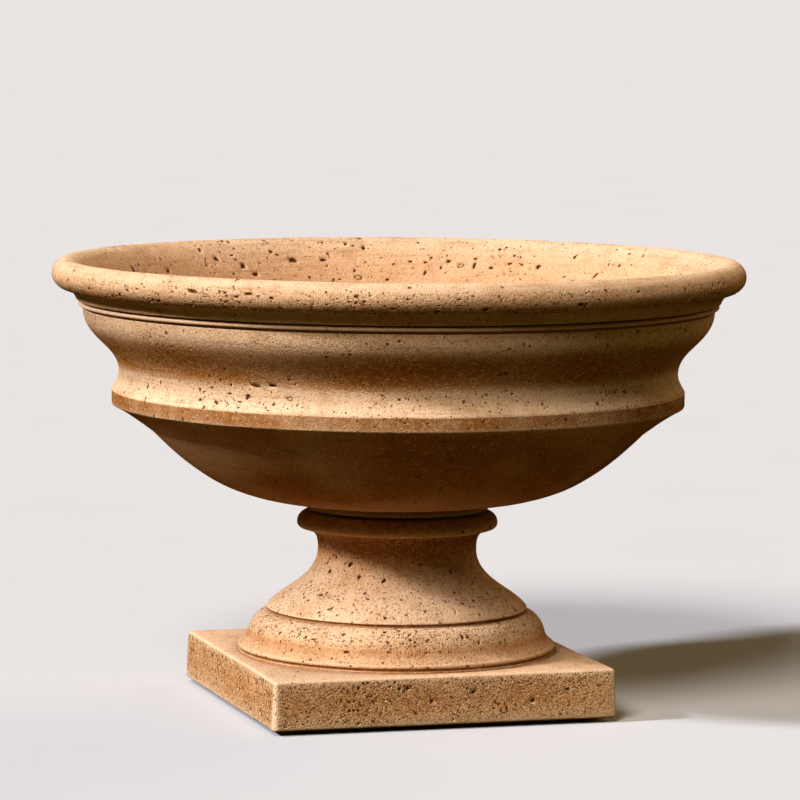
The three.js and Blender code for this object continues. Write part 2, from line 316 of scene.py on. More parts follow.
# Makes a stone casting from its grid, and cuts its holes as real ones. A hole takes a block of the grid's
# cells and fills it with a rim, a wall and a floor, so that the mesh stays one closed surface
def carveStone(name, rows, zones, arris, grid, finish, paintedHighlight, spots, seed):
    c = holeCutting
    draw = np.random.default_rng(seed)
    height, width = grid.shape[:2]
    out = outwardOf(grid)
    cellWide = np.linalg.norm(np.roll(grid, -1, 1) - grid, axis=2)
    cellTall = np.linalg.norm(np.roll(grid, -1, 0) - grid, axis=2)
    zoneOf = np.array([zones[(i + 1) % height] for i in range(height)])
    taken = np.zeros((height, width), bool)
    gone = np.zeros((height, width), bool)
    extraPoints, extraPitShade, extraRow, extraFaces = [], [], [], []
    firstExtra = height * width

    # The point this deep in the stone under a place between rows and columns
    def pointAt(fi, fj, deep):
        i, j = int(math.floor(fi)), int(math.floor(fj))
        s, t = fi - i, fj - j
        corners = [(i + a, j + b, (s if a else 1 - s) * (t if b else 1 - t)) for a in (0, 1) for b in (0, 1)]
        spot = sum(grid[a % height, b % width] * w for a, b, w in corners)
        way = sum(out[a % height, b % width] * w for a, b, w in corners)
        return spot - way / np.linalg.norm(way) * deep

    # Cuts one hole about a row and a column, and says whether there was room for it
    def cut(i, j, half, thin, lean, deep, kind):
        wide, tall = cellWide[i, j], cellTall[i, j]
        reach = c["raggedest"] + 0.01
        reachAcross = math.hypot(half * math.cos(lean), thin * math.sin(lean)) * reach
        reachUp = math.hypot(half * math.sin(lean), thin * math.cos(lean)) * reach
        room = 2 * c["margin"] + 0.1
        across, up = math.ceil((2 * reachAcross + room) / wide), math.ceil((2 * reachUp + room) / tall)
        if across * up > c["mostCells"] or across > width // 4:
            return False
        i0, j0 = i - (up - 1) // 2, j - (across - 1) // 2
        blockRows = np.arange(i0, i0 + up) % height
        blockColumns = np.arange(j0, j0 + across) % width
        if any(zoneOf[r] != zoneOf[i] for r in blockRows) or taken[np.ix_(blockRows, blockColumns)].any():
            return False
        if arris[np.arange(i0, i0 + up + 1) % height].any():
            return False
        rowsTall = cellTall[blockRows, j]
        if rowsTall.min() < c["lowestRow"] * tall or rowsTall.sum() < 2 * reachUp + 0.5:
            return False
        slackAcross = max(0, across * wide / 2 - reachAcross - c["margin"]) / wide
        slackUp = max(0, up * tall / 2 - reachUp - c["margin"]) / tall
        fi = i0 + up / 2 + draw.uniform(-1, 1) * slackUp
        fj = j0 + across / 2 + draw.uniform(-1, 1) * slackAcross
        points = next(number for size, number in c["pointsBelow"] if half < size)
        turn = np.arange(points) * 2 * math.pi / points + draw.uniform(0, 0.4)
        rough = 1 + c["lobes"][0] * np.sin(2 * turn + draw.uniform(0, 6))
        rough += c["lobes"][1] * np.sin(3 * turn + draw.uniform(0, 6))
        rough *= draw.uniform(*c["ragged"], points)
        rough = np.minimum(rough, c["raggedest"])
        x, y = half * np.cos(turn) * rough, thin * np.sin(turn) * rough
        stepJ = (x * math.cos(lean) - y * math.sin(lean)) / wide
        stepI = (x * math.sin(lean) + y * math.cos(lean)) / tall
        rings = holeRings["small" if kind == "hole" and half < c["smallBelow"] else kind]
        floor = (0, 0) if kind == "ring" else (deep, 1)
        taken[np.ix_(blockRows, blockColumns)] = True
        inner = np.ix_(np.arange(i0 + 1, i0 + up) % height, np.arange(j0 + 1, j0 + across) % width)
        gone[inner] = True
        edge = [(i0, j0 + k) for k in range(across)] + [(i0 + k, j0 + across) for k in range(up)]
        edge += [(i0 + up, j0 + across - k) for k in range(across)] + [(i0 + up - k, j0) for k in range(up)]
        edgeTurn = np.array([math.atan2(a - fi, b - fj) for a, b in edge])
        edgeIndex = [(a % height) * width + b % width for a, b in edge]
        layers = []
        for share, down, dark in rings:
            shift = 1 if share == 1 else draw.uniform(*c["wallRagged"], points)
            first = firstExtra + len(extraPoints)
            for a, b in zip(stepI * share * shift, stepJ * share * shift):
                extraPoints.append(pointAt(fi + a, fj + b, down * deep))
                extraPitShade.append(dark)
                extraRow.append((i, j))
            layers.append(list(range(first, first + points)))
        extraFaces.extend(joinRings(edgeIndex, edgeTurn, layers[0], np.arctan2(stepI, stepJ)))
        for upper, lower in zip(layers, layers[1:]):
            for k in range(points):
                n = (k + 1) % points
                extraFaces.append((upper[k], upper[n], lower[n], lower[k]))
        extraPoints.append(pointAt(fi, fj, floor[0]))
        extraPitShade.append(floor[1])
        extraRow.append((i, j))
        last = firstExtra + len(extraPoints) - 1
        extraFaces.extend((layers[-1][k], layers[-1][(k + 1) % points], last) for k in range(points))
        return True

    for zone, places in spots.items():
        rowsHere = np.flatnonzero(zoneOf == zone)
        for turn, level, half, thin, lean, *ring in places:
            i = rowsHere[np.argmin(np.abs(grid[rowsHere, 0, 2] - level))]
            turns = np.degrees(np.arctan2(grid[i, :, 1], grid[i, :, 0]))
            j = int(np.argmin(np.abs((turns - turn + 180) % 360 - 180)))
            deep = c["ringDepth"] if ring else min(c["deepest"], 0.9 * thin)
            cut(i, j, half, thin, math.radians(lean), deep, "ring" if ring else "hole")

    made = 0
    wide, close = c["crowdsApart"]
    slow = swells(grid, wide, seed + 1)
    cluster = slow ** 2 * swells(grid, close, seed + 2)
    for zone, (perSquare, least, most, stretch, lie, _, _) in finish.items():
        area = cellWide * cellTall * (zoneOf == zone)[:, None]
        weight = (area * (c["outsideCrowds"] + cluster)).ravel()
        number = int(area.sum() / 100 ** 2 * perSquare)
        if not number or not weight.sum():
            continue
        for cell in draw.choice(weight.size, number, False, weight / weight.sum()):
            i, j = divmod(int(cell), width)
            half = least + (most - least) * draw.random() ** c["smallCrowd"]
            thin = half / (1 + stretch * draw.random() ** 2)
            lies = draw.random() < c["lying"]
            lean = draw.normal(math.radians(lie), c["lieSpread"]) if lies else draw.uniform(0, math.pi)
            deep = min(c["deepest"], thin * draw.uniform(*c["depths"]))
            for shrink in c["tries"]:
                size = half * shrink, thin * shrink
                if size[0] > c["leastHalf"] and cut(i, j, *size, lean, deep * shrink, "hole"):
                    made += 1
                    break

    # The mesh is the grid's cells that no hole took, and the holes
    index = np.arange(height * width).reshape(height, width)
    nextRow, nextColumn = np.roll(index, -1, 0), np.roll(index, -1, 1)
    quads = np.stack([index, nextColumn, np.roll(nextRow, -1, 1), nextRow], 2)[~taken]
    points = np.concatenate([grid.reshape(-1, 3), np.array(extraPoints).reshape(-1, 3)])
    keep = np.concatenate([~gone.ravel(), np.ones(len(extraPoints), bool)])
    place = np.cumsum(keep) - 1
    faces = [place[list(f)].tolist() for f in extraFaces] + place[quads].tolist()
    mesh = bpy.data.meshes.new(name)
    mesh.from_pydata((points[keep] * mm).tolist(), [], faces)
    # What the material needs to know at each point, kept as attributes
    nearby = np.array(extraRow, int).reshape(-1, 2)
    gridRow, gridColumn = np.divmod(np.arange(height * width), width)
    rowOf = np.concatenate([gridRow, nearby[:, 0]])[keep]
    columnOf = np.concatenate([gridColumn, nearby[:, 1]])[keep]
    pitShade = np.concatenate([np.zeros(height * width), np.array(extraPitShade)])[keep]
    finishOf = np.array([finish.get(zone, plainFinish) for zone in zones])[rowOf]
    holey, coarse, stainedAndShaded = finishOf[:, 0], finishOf[:, 5], finishOf[:, 6]
    # How far the profile sinks into a hollow or stands proud, for painted shade and painted highlight
    hollow = lineDepth(rows, reach=20)[rowOf]
    depth = lineDepth(rows)[rowOf]
    # Edges and corners, which get a painted highlight
    cornerTurn = np.sum(np.roll(out, 1, 1) * np.roll(out, -1, 1), 2)
    corner = np.clip((0.985 - cornerTurn) / 0.06, 0, 1)[rowOf, columnOf]
    edge = np.clip((-depth - 0.5) / 1.8, 0, 0.5)
    # The heights and zones that get a painted highlight
    paintedHighlightAt = np.interp(grid[rowOf, 0, 2], paintedHighlight["levels"], paintedHighlight["shares"])
    clumps = np.clip(0.25 + 1.6 * cluster[rowOf, columnOf], 0, 1)
    notes = {
        "pitShade": pitShade,
        "facing": out[rowOf, columnOf, 2] * 0.5 + 0.5,  # 0 faces the ground and 1 the sky
        "hollow": np.clip(hollow / 5, 0, 1),
        "proud": np.clip(-hollow / 5, 0, 1),
        "coarse": coarse * (0.85 + 0.3 * slow[rowOf, columnOf]),
        "stainedAndShaded": stainedAndShaded,
        "paintedHighlight": paintedHighlightAt * np.isin(zones, paintedHighlight["zones"])[rowOf],
        "porous": np.clip(holey / 40, 0, 1) * clumps,
        "groove": np.clip((depth - 0.12) / 0.9, 0, 1) * (pitShade == 0),
        "arris": np.maximum(edge, corner) * (pitShade == 0),
    }
    for key, values in notes.items():
        mesh.attributes.new(key, "FLOAT", "POINT").data.foreach_set("value", values.astype(np.float32))
    mesh.polygons.foreach_set("use_smooth", np.ones(len(mesh.polygons), bool))
    mesh.update()
    print(name, len(mesh.vertices), "points,", sum(len(f) - 2 for f in faces), "triangles,", made, "holes")
    return newObject(name, mesh)


# Cast stone: cement and warm sand, tamped into a mould. To the eye that is a matt, sandy surface with small
# dark blow holes. A painted highlight pales it where it faces the sky or stands proud, and painted shade
# browns it where it faces down and in hollows
stoneLook = {
    "sand": "#C48041",
    # Pale tone of the mix, which also paints highlights
    "paleToneAndHighlight": "#F8D6B0",
    # Darker tone of stains and strickle marks, which also paints shade
    "darkToneAndShade": "#8C541F",
    "redder": "#B47034",
    "grit": "#78461A",
    "paleGrit": "#EDC084",
    # Painted shade inside the holes
    "hole": "#603715",
    # Painted shade in grooves
    "grooveShade": "#5A3415",
    "patterns": {  # mm from one feature to the next, detail and roughness
        "cloud": (130, 2, 0.5),  # tones of the mix
        "patch": (26, 4, 0.6),
        "grains": (1.4, 1, 0.6),  # the real sand is 0.3 to 1 mm, drawn as coarse as it needs to show
        "streak": (5, 3, 0.6),  # the marks that the strickle left round the mouldings
    },
    "streakRun": 0.045,  # how fast the marks change along their length, against across it
    "gritSize": 1.8,  # mm, as coarse as the real grit
    "gritDepth": 1.1,
    "holeCell": 7.0,  # mm from one small hole to the next
    "pinholeCell": 3.6,
    "holeDepth": 2.0,
}


# A piece's streakShare says how much its strickle marks show
def castStone(name, look, streakShare):
    material = newMaterial(name)
    place = addNode(material, "TexCoord")["Object"]
    level = look["streakRun"]
    stretched = addNode(material, "Mapping", inputs={"Vector": place, "Scale": (level, level, 1)})[0]
    multiply = {"operation": "MULTIPLY", "use_clamp": True}

    patterns = {}
    for key, (size, detail, roughness) in look["patterns"].items():
        inputs = {"Scale": perMetre(size), "Detail": detail, "Roughness": roughness}
        inputs["Vector"] = stretched if key == "streak" else place
        patterns[key] = addNode(material, "TexNoise", inputs=inputs)["Fac"]
    # What carveStone noted at each point
    notes = {}
    for key in ("facing", "hollow", "proud", "coarse", "stainedAndShaded", "paintedHighlight", "porous", "groove", "arris", "pitShade"):
        notes[key] = addNode(material, "Attribute", {"attribute_name": key})["Fac"]

    # Cells packed loosely: how far a point is from the middle of its cell, and the cell's own random numbers
    def looseCells(size, shoveSize, detail, shove):
        inputs = {"Vector": place, "Scale": perMetre(shoveSize), "Detail": detail, "Roughness": 0.5}
        way = addNode(material, "TexNoise", inputs=inputs)["Color"]
        inputs = {0: way, 1: [shove * mm] * 3, 2: place}
        loose = addNode(material, "VectorMath", {"operation": "MULTIPLY_ADD"}, inputs)[0]
        cells = addNode(material, "TexVoronoi", inputs={"Vector": loose, "Scale": perMetre(size)})
        return cells["Distance"], addNode(material, "SeparateColor", inputs={"Color": cells["Color"]})

    # Ragged holes in some of the cells, more of them where the stone is porous
    def holesIn(cell, chance, least, most):
        distance, draws = looseCells(cell, cell * 0.35, 2, cell * 0.45)
        inputs = {"Value": notes["porous"], "To Min": 0.02, "To Max": chance}
        limit = addNode(material, "MapRange", inputs=inputs)[0]
        wanted = addNode(material, "Math", {"operation": "LESS_THAN"}, {0: draws[0], 1: limit})[0]
        size = addNode(material, "MapRange", inputs={"Value": draws[1], "To Min": least, "To Max": most})[0]
        settings = {"operation": "SUBTRACT", "use_clamp": True}
        depth = addNode(material, "Math", settings, {0: size, 1: distance})[0]
        depth = addNode(material, "Math", multiply, {0: depth, 1: 12.0})[0]
        return addNode(material, "Math", multiply, {0: depth, 1: wanted})[0]

    holes = holesIn(look["holeCell"], 0.7, 0.1, 0.34)
    pinholes = holesIn(look["pinholeCell"], 0.75, 0.12, 0.36)
    cavity = addNode(material, "Math", {"operation": "MAXIMUM"}, {0: holes, 1: pinholes})[0]
    # Grit stands up in grains, each with its own height and tone
    grit = look["gritSize"]
    distance, draws = looseCells(grit, grit, 1, grit * 0.6)
    gritTone = draws[0]
    inputs = {"Value": distance, "From Min": 0.1, "From Max": 0.75, "To Min": 1, "To Max": 0}
    rise = addNode(material, "MapRange", inputs=inputs)[0]
    height = addNode(material, "MapRange", inputs={"Value": draws[1], "To Min": 0.25, "To Max": 1})[0]
    gritRise = addNode(material, "Math", multiply, {0: rise, 1: height})[0]

    # Tones laid over the sand's, one after another: what each follows, from where to where, the share of the
    # tone at either end, and what scales that
    layers = [
        ("paleToneAndHighlight", notes["facing"], 0.5, 1.0, 0, 0.7, 1),  # painted highlight where it faces the sky
        # painted highlight where it stands proud
        ("paleToneAndHighlight", notes["proud"], 0, 1, 0, 0.5, 1),
        ("darkToneAndShade", notes["facing"], 0.5, 0.1, 0, 0.85, 1),  # painted shade where it faces the ground
        ("paleToneAndHighlight", notes["paintedHighlight"], 0, 1, 0, 0.85, 1),  # painted highlight by height, on the zones its table gives
        # stain in patches, which under the bowl and on the band is painted shade
        ("darkToneAndShade", patterns["patch"], 0.3, 0.7, 0.7, 1.3, notes["stainedAndShaded"]),
        # painted shade in hollows
        ("darkToneAndShade", notes["hollow"], 0, 1, 0, 0.15, 1),
        ("paleToneAndHighlight", patterns["cloud"], 0.42, 0.66, 0, 0.18, 1),
        ("redder", patterns["patch"], 0.5, 0.75, 0, 0.45, 1),
        ("darkToneAndShade", patterns["streak"], 0.52, 0.75, 0, 1, streakShare),
        ("grit", gritTone, 0.72, 0.95, 0, 1, notes["coarse"]),
        ("paleGrit", gritTone, 0.25, 0.05, 0, 1, notes["coarse"]),
        ("grit", patterns["grains"], 0.54, 0.68, 0, 0.35, 1),
        # painted shade in grooves
        ("grooveShade", notes["groove"], 0, 1, 0, 0.4, 1),
        # painted highlight along edges and corners
        ("paleToneAndHighlight", notes["arris"], 0, 1, 0, 0.75, 1),
        # painted shade inside the holes, darker toward their floors
        ("hole", cavity, 0, 1, 0, 0.85, 1),
        ("hole", notes["pitShade"], 0, 1, 0, 0.95, 1),
    ]
    colour = linearColour(look["sand"])
    for tone, value, low, high, least, most, scale in layers:
        inputs = {"Value": value, "From Min": low, "From Max": high, "To Min": least, "To Max": most}
        share = addNode(material, "MapRange", inputs=inputs)[0]
        share = addNode(material, "Math", multiply, {0: share, 1: scale})[0]
        inputs = {0: share, 6: colour, 7: linearColour(look[tone])}
        colour = addNode(material, "Mix", {"data_type": "RGBA"}, inputs)[2]

    grains = addNode(material, "Math", multiply, {0: patterns["grains"], 1: 0.6})[0]
    inputs = {0: gritRise, 1: notes["coarse"], 2: grains}
    grain = addNode(material, "Math", {"operation": "MULTIPLY_ADD", "use_clamp": True}, inputs)[0]
    inputs = {"Strength": 1.0, "Distance": look["gritDepth"] * mm, "Height": grain}
    relief = addNode(material, "Bump", inputs=inputs)[0]
    inputs = {"Strength": 1.0, "Distance": look["holeDepth"] * mm, "Height": cavity, "Normal": relief}
    dent = addNode(material, "Bump", {"invert": True}, inputs)[0]
    rough = addNode(material, "MapRange", inputs={"Value": gritTone, "To Min": 0.82, "To Max": 0.98})[0]
    shader = addNode(material, "BsdfPrincipled", inputs={
        "Base Color": colour,
        "Roughness": rough,
        "Specular IOR Level": 0.0,
        "IOR": 1.5,
        "Metallic": 0.0,
        "Normal": dent,
    })
    addNode(material, "OutputMaterial", inputs={"Surface": shader[0]})
    return material


def dress(piece, material):
    piece.data.materials.clear()
    piece.data.materials.append(material)


# The bowl, in millimetres, as its solid has it. A pair is a radius and a height, and bowlRuns names the rest
bowlShape = {
    "columns": 320,
    "seat": (104.1, 224.1),
    "underFoot": (104.1, 233.0),
    "underCorner": (281.0, 314.0),
    "band": (325.5, 343.5, 360.0),
    "waist": (317.6, 380.0),
    "bodyHead": (358.3, 452.0),
    "quirkRadius": 357.0,
    "bead": (453.8, 459.4, 5.3),
    "cavettoFoot": (365.5, 461.2),
    "rim": (376.5, 491.0, 17.0),
    "innerWaist": (281.6, 380.0),
    "floorEdge": (110.0, 269.1),
    "rebate": (45.5, 267.1, 258.8),
    "drainHole": 20.5,
    "swell": 0.5,  # the deepest the hand-finished surface falls short of the turned shape
}

# The finish of each zone: holes for each square decimetre, their least and most half length in mm, how far
# they are stretched, their lie in degrees from level, how much grit shows and how much stain and painted
# shade darken the zone
bowlFinish = {
    # Under the bowl and on the band this darkening is painted shade
    "footRing": (0, 0, 0, 0, 0, 0.2, 0.95),
    "under": (4, 0.7, 2.0, 0.8, 0, 0.25, 0.35),
    "cove": (5, 0.7, 2.0, 0.8, 0, 0.3, 0.3),
    "band": (9, 0.7, 1.8, 1.0, 0, 0.35, 0.85),
    "shoulder": (22, 0.7, 3.2, 1.8, 0, 0.35, 0),
    "body": (9, 0.7, 2.6, 1.4, 20, 0.5, 0),
    "bead": (0, 0, 0, 0, 0, 0.3, 0),
    "cavetto": (8, 0.6, 1.6, 1.2, 0, 0.35, 0.1),
    "rimUnder": (46, 0.7, 3.2, 2.2, 0, 0.55, 0),
    "rimTop": (4, 0.6, 1.8, 0.8, 0, 0.25, 0),
    "basin": (13, 0.7, 4.0, 1.2, 65, 0.3, 0),
    "basinFloor": (8, 0.7, 3.0, 0.8, 0, 0.4, 0.5),
}

# Where a painted highlight pales the stone most, by heights in mm
bowlPaintedHighlight = {
    "zones": ("band", "shoulder", "body", "cavetto"),
    "levels": (357, 361, 386, 392, 425, 436, 452, 462),
    "shares": (0, 0.9, 0.9, 0, 0, 0.6, 0.6, 0.4),
}

# Larger holes that the real stone shows in each zone: turn about the axis in degrees, height in mm, half
# length, half width and lean in degrees. A ring is the mark that a bubble leaves. A hole that would meet
# another one or an edge is left uncut
bowlSpots = {
    "rimUnder": [
        (-151, 493, 5.0, 1.8, 12), (-142, 489, 6.0, 2.4, -8), (-139, 493, 4.0, 2.0, 20),
        (-132, 491, 4.6, 1.9, 0), (-127, 487, 2.2, 1.6, 0), (-124, 493, 4.0, 2.2, 10),
        (-114, 489, 2.6, 1.8, 0),
    ],
    "body": [
        (-136, 386, 6.5, 1.6, -10), (-133, 384, 4.6, 2.0, -5),
    ],
    "shoulder": [
        (-139, 377, 2.6, 1.6, 0), (-138, 370, 3.4, 2.6, 30), (-129, 371, 3.2, 3.0, 0, "ring"),
        (-122, 376, 2.4, 1.6, 0), (-145, 376, 2.4, 1.6, 0),
    ],
    "basin": [
        (81, 470, 5.5, 3.2, 0, "ring"), (70, 481, 2.6, 1.8, 20), (68, 485, 2.4, 1.9, 0),
        (67, 475, 3.0, 1.7, 60), (66, 489, 2.2, 1.8, 0), (64, 478, 2.8, 1.4, 85), (62, 488, 3.2, 2.4, 10),
        (60, 485, 4.2, 3.0, 30, "ring"), (60, 476, 4.2, 2.8, 0, "ring"), (57, 485, 4.6, 2.0, 85),
        (53, 478, 2.8, 2.2, 0), (50, 484, 3.2, 1.8, 10), (47, 482, 2.2, 1.6, 0),
        (34, 470, 4.0, 2.4, 10, "ring"), (28, 480, 5.0, 1.8, 65), (106, 483, 4.5, 3.0, 50),
        (104, 475, 4.0, 3.0, 0), (94, 489, 6.0, 3.4, 0), (88, 486, 4.0, 2.4, 0), (137, 487, 5.5, 2.6, 55),
        (126, 482, 4.0, 2.2, 50),
    ],
}


def bowlRuns(s):
    seat, underFoot, corner = s["seat"], s["underFoot"], s["underCorner"]
    bandRadius, bandFoot, bandHead = s["band"]
    waist, bodyHead, quirk = s["waist"], s["bodyHead"], s["quirkRadius"]
    beadFoot, beadHead, beadStep = s["bead"]
    beadMiddle = (beadFoot + beadHead) / 2
    cavettoFoot = s["cavettoFoot"]
    rimRadius, rimLevel, roll = s["rim"]
    rimFoot, crest = (rimRadius, rimLevel - roll), (rimRadius, rimLevel + roll)
    rebate, drainLevel, flangeSeat = s["rebate"]
    hole = s["drainHole"]
    return [
        run(straight((hole, seat[1]), seat), "seat", 30, 0.5),
        run(straight(seat, underFoot), "footRing", 8, 0.8),
        run(bend(underFoot, corner, [(0.445, 0), (0.3, 0.67)]), "under", 8),
        run(bend(corner, (bandRadius, bandFoot), [(0.51, 0.57), (0.29, 0.22)]), "cove", 6.5, 1.6),
        run(straight((bandRadius, bandFoot), (bandRadius, bandHead)), "band", 4, 1.0),
        run(bend((bandRadius, bandHead), waist, [(0.55, 0.4), (0, 0.4)]), "shoulder", 4.2, 1.2),
        run(bend(waist, bodyHead, [(0, 0.42), (0, 0.47)]), "body", 5),
        run(straight(bodyHead, (quirk, bodyHead[1])), "quirk", 1, 0.5),
        *chain([(quirk, bodyHead[1]), (quirk, beadFoot), (bodyHead[0], beadFoot)], "quirk", 2),
        run(arch((bodyHead[0], beadMiddle), beadStep, beadHead - beadMiddle, -90, 90), "bead", 2),
        *chain([(bodyHead[0], beadHead), (quirk, beadHead), (quirk, cavettoFoot[1])], "quirk", 2),
        run(straight((quirk, cavettoFoot[1]), cavettoFoot), "quirk", 9),
        run(bend(cavettoFoot, rimFoot, [(0.15, 0.45), (0.45, 0.15)]), "cavetto", 3.6, 0.8),
        run(arch((rimRadius, rimLevel), roll, roll, -90, 20), "rimUnder", 3.9, 0.6),
        run(arch((rimRadius, rimLevel), roll, roll, 20, 90), "rimTop", 3.9),
        run(bend(crest, s["innerWaist"], [(0.33, 0), (0.19, 0.3)]), "basin", 6.3),
        run(bend(s["innerWaist"], s["floorEdge"], [(0.1, 0.32), (0.47, 0.02)]), "basinFloor", 12),
        run(straight(s["floorEdge"], (rebate, drainLevel)), "basinFloor", 13),
        run(straight((rebate, drainLevel), (rebate, flangeSeat)), "seat", 9, 0.6),
        run(straight((rebate, flangeSeat), (hole, flangeSeat)), "seat", 25),
        run(straight((hole, flangeSeat), (hole, seat[1])), "seat", 40, 0.4),
    ]


def buildBowl():
    rows, zones, arris = rowsOf(bowlRuns(bowlShape))
    grid = gridOf(rows, bowlShape["columns"])
    grid = weather(grid, zones, arris, bowlShape["swell"], 11)
    marks = bowlFinish, bowlPaintedHighlight, bowlSpots
    piece = carveStone("bowl_stone", rows, zones, arris, grid, *marks, 5)
    dress(piece, castStone("CastStoneBowl", stoneLook, 0.45))
    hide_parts("bowl")
    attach(piece, "bowl")


buildBowl()
print("bowl made")


# The pedestal, in millimetres, as its solid has it. A pair is a radius and a height
pedestalShape = {
    "columns": 320,
    "plinth": (199.3, 196.9, 5.3, 60.3),
    "plinthArris": 3.0,
    "plinthFlat": 192.4,  # from the middle of a side to where its rounded corner starts
    "fillet": (180.3, 62.3),
    "quirk": (177.9, 64.3),
    "toe": (181.1, 70.3),
    "foot": (169.6, 84.0),
    "notch": (146.3, 106.3),
    "lip": (149.3, 110.5),
    "neck": (90.6, 178.0),
    "collarFoot": (108.0, 201.5),
    "collar": (114.6, 207.6),
    "collarEdge": 4.6,
    "collarTop": (101.0, 220.5),
    "bore": (21.5, 180.5),
    "neckHollow": (47.6, 150.5),
    "footHollow": 124.6,
    "swell": 0.5,
}

# On the collar under the bowl the darkening is painted shade
pedestalFinish = {
    "collar": (8, 0.7, 2.0, 0.8, 0, 0.4, 0.75),
    "neck": (26, 0.8, 3.8, 1.0, 80, 0.5, 0.35),
    "stem": (26, 0.8, 3.2, 1.4, 80, 0.5, 0.15),
    "foot": (32, 0.7, 3.0, 1.4, 75, 0.75, 0.15),
    "toe": (18, 0.6, 1.8, 0.9, 0, 0.5, 0.1),
    "arris": (0, 0, 0, 0, 0, 0.4, 0),
    "fillet": (0, 0, 0, 0, 0, 0.4, 0.2),
    "plinthTop": (6, 0.6, 1.8, 0.6, 0, 0.35, 0),
    "plinthSide": (22, 0.8, 2.8, 1.0, 30, 1.0, 0.15),
    "hollow": (4, 0.8, 3.0, 0.6, 0, 0.5, 0.4),
}

# Where a painted highlight pales the stone most, by heights in mm
pedestalPaintedHighlight = {
    "zones": ("stem", "neck", "foot"),
    "levels": (80, 100, 150, 190),
    "shares": (0.3, 0.55, 0.4, 0),
}

pedestalSpots = {
    "stem": [
        (-116, 150, 3.4, 2.2, 60), (-133, 155, 3.0, 2.0, 80), (-140, 122, 3.0, 1.8, 70),
    ],
    "foot": [
        (-160, 90, 2.6, 1.8, 60), (-81, 95, 2.8, 2.0, 90),
    ],
    "toe": [
        (-126, 78, 3.4, 1.8, 0),
    ],
    "plinthSide": [
        (-83, 38, 2.8, 2.0, 20), (-105, 44, 2.4, 1.8, 0), (-96, 27, 2.8, 1.8, 60), (-56, 31, 2.4, 1.8, 0),
        (-139, 40, 3.0, 1.8, 70),
    ],
}


def pedestalRuns(s):
    halfFoot, halfHead, bottom, top = s["plinth"]
    arris = s["plinthArris"]
    footInner, headInner = halfFoot - arris, halfHead - arris
    filletRadius, filletTop = s["fillet"]
    quirkRadius, toeFoot = s["quirk"]
    toeRadius, toeHead = s["toe"]
    toeRoll = (toeHead - toeFoot) / 2
    toeTop = (toeRadius - toeRoll, toeHead)
    notch, lip = s["notch"], s["lip"]
    collarRadius, collarLevel = s["collar"]
    topRadius, topLevel = s["collarTop"]
    boreRadius, deckLevel = s["bore"]
    hollowRadius, hollowLevel = s["neckHollow"]
    wide = s["footHollow"]
    underRise, shoulder = collarLevel - s["collarFoot"][1], collarRadius - topRadius
    edge = (collarRadius - s["collarEdge"], s["collarFoot"][1])
    spread = (filletRadius, headInner)
    under = (wide, footInner)
    underCut = (notch[0], (notch[1] + lip[1]) / 2)
    return [
        run(straight((wide, bottom), (footInner, bottom)), "seat", 14, 0.8, under),
        run(arch((footInner, bottom + arris), arris, arris, -90, 0), "arris", 1.3, 0, "square"),
        run(straight((halfFoot, bottom + arris), (halfHead, top - arris)), "plinthSide", 5, 0, "square"),
        run(arch((headInner, top - arris), arris, arris, 0, 90), "arris", 1.3, 0, "square"),
        run(straight((headInner, top), (filletRadius, top)), "plinthTop", 1.9, 0, spread),
        *chain([(filletRadius, top), (filletRadius, filletTop), (quirkRadius, filletTop)], "fillet", 2, 0.5),
        run(straight((quirkRadius, filletTop), (quirkRadius, toeFoot)), "quirk", 2, 0.4),
        run(straight((quirkRadius, toeFoot), (toeRadius - toeRoll, toeFoot)), "quirk", 2, 0.5),
        run(arch((toeRadius - toeRoll, toeFoot + toeRoll), toeRoll, toeRoll, -90, 90), "toe", 1.6),
        run(bend(toeTop, s["foot"], [(0.4, 0.3), (0.1, 0.45)]), "toe", 3.2),
        run(bend(s["foot"], notch, [(0.12, 0.53), (0.53, 0.02)]), "foot", 3.7),
        run(straight(notch, underCut), "quirk", 1.5, 0.7),
        run(straight(underCut, lip), "quirk", 1.5, 0.5),
        run(bend(lip, s["neck"], [(0.18, 0.27), (0, 0.55)]), "stem", 3.8, 1.0),
        run(bend(s["neck"], s["collarFoot"], [(0, 0.7), (0.75, 0.18)]), "neck", 3.6),
        run(straight(s["collarFoot"], edge), "collar", 2.5, 0.8),
        run(arch((edge[0], collarLevel), s["collarEdge"], underRise, -90, 0), "collar", 1.8),
        run(arch((topRadius, collarLevel), shoulder, topLevel - collarLevel, 0, 90), "collar", 2.6),
        run(straight((topRadius, topLevel), (boreRadius, topLevel)), "seat", 30, 0.8),
        *chain([(boreRadius, topLevel), (boreRadius, deckLevel), (hollowRadius, deckLevel)], "seat", 20, 0.8),
        run(straight((hollowRadius, deckLevel), (hollowRadius, hollowLevel)), "hollow", 12, 2.0),
        run(straight((hollowRadius, hollowLevel), (wide, top)), "hollow", 13, 1.0),
        run(straight((wide, top), (wide, bottom)), "hollow", 12, 1.5),
    ]


def buildPedestal():
    s = pedestalShape
    square = (s["fillet"][0], s["plinth"][1] - s["plinthArris"])
    rows, zones, arris = rowsOf(pedestalRuns(s), square)
    grid = gridOf(rows, s["columns"], s["plinthFlat"])
    grid = weather(grid, zones, arris, s["swell"], 12)
    marks = pedestalFinish, pedestalPaintedHighlight, pedestalSpots
    piece = carveStone("pedestal_stone", rows, zones, arris, grid, *marks, 6)
    dress(piece, castStone("CastStonePedestal", stoneLook, 0.25))
    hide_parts("pedestal")
    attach(piece, "pedestal")


buildPedestal()
print("pedestal made")


